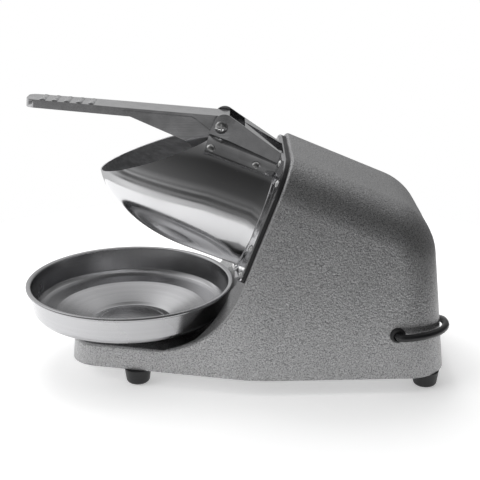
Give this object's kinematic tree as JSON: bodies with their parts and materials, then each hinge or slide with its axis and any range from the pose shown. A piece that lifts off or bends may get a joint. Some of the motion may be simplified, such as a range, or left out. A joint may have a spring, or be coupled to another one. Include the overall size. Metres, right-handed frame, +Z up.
{
  "type": "electric ice shaver",
  "caption": "Tabletop electric ice shaver: a sloping drum hopper on a cast motor housing, a long press lever with a presser plate, and a catch bowl on the tray.",
  "frame": {"origin": "on the table, under the middle of the machine's own bounding box, without its mains lead", "axes": "+Z up, -X towards the lever's tip and the bowl, +Y to the right of someone who faces the rear wall"},
  "size_m": [0.4252, 0.3179, 0.2666],
  "materials": {
    "hammer_paint": "hammered silver-grey enamel",
    "stainless": "brushed stainless sheet",
    "lever_steel": "satin plated steel",
    "bright_steel": "bright plated",
    "tool_steel": "ground",
    "cast_aluminium": "satin cast",
    "core_steel": "lamination stack",
    "copper_wire": "enamelled copper",
    "black_rubber": "matte black",
    "cord_rubber": "satin black sheath",
    "black_plastic": "matte black",
    "white_plastic": "matte natural nylon"
  },
  "bodies": {
    "housing": {"housing_shell": "hammer_paint", "base_cover": "hammer_paint", "cover_screws": "bright_steel", "foot_screws": "bright_steel", "foot_front_left": "black_rubber", "foot_front_right": "black_rubber", "foot_rear_left": "black_rubber", "foot_rear_right": "black_rubber", "front_gasket": "black_rubber", "front_plate": "stainless", "plate_screws": "bright_steel", "hopper": "stainless", "bracket_left": "lever_steel", "bracket_right": "lever_steel", "bracket_rivets": "bright_steel", "pivot_screw": "bright_steel", "pivot_nut": "bright_steel", "ice_chute": "stainless", "shaft_seal": "black_rubber", "front_bearing": "tool_steel", "rear_bearing": "tool_steel", "front_bell": "cast_aluminium", "rear_bell": "cast_aluminium", "stator_core": "core_steel", "windings": "copper_wire", "through_bolts": "bright_steel", "capacitor": "white_plastic", "capacitor_clip": "bright_steel", "terminal_block": "white_plastic", "switch_body": "black_plastic", "grommet": "black_rubber", "cord_clamp": "black_plastic", "inner_lead": "cord_rubber", "power_cord": "cord_rubber", "cord_coil": "cord_rubber", "cord_tie": "black_plastic", "cord_tail": "cord_rubber", "plug": "black_rubber"},
    "lever": {"lever": "lever_steel", "presser_arm_left": "lever_steel", "presser_arm_right": "lever_steel", "presser_plate": "stainless", "presser_rivets": "bright_steel", "pivot_bush_left": "white_plastic", "pivot_bush_right": "white_plastic"},
    "rotor": {"blade_disc": "cast_aluminium", "blades": "tool_steel", "blade_screws": "bright_steel", "disc_nut": "bright_steel", "motor_shaft": "tool_steel", "rotor_core": "core_steel", "cooling_fan": "black_plastic"},
    "bowl": {"bowl": "stainless"},
    "rocker": {"rocker": "black_plastic"}
  },
  "joints": [
    {"name": "lever_press", "type": "hinge", "parent": "housing", "child": "lever", "pos_m": [-0.00834, 0, 0.24031], "axis": [0, 1, 0], "range_deg": [0, 100]},
    {"name": "blade_spin", "type": "hinge", "parent": "housing", "child": "rotor", "pos_m": [0.0311, 0, 0.1519], "axis": [-0.9304, 0, 0.3665], "continuous": true},
    {"name": "bowl_removal", "type": "slide", "parent": "housing", "child": "bowl", "axis": [-0.9304, 0, 0.3665], "range_m": [0, 0.15]},
    {"name": "switch_rocker", "type": "hinge", "parent": "housing", "child": "rocker", "pos_m": [0.14989, 0.08986, 0.09476], "axis": [0.9991, -0.0427, 0], "range_deg": [0, 18]}
  ]
}
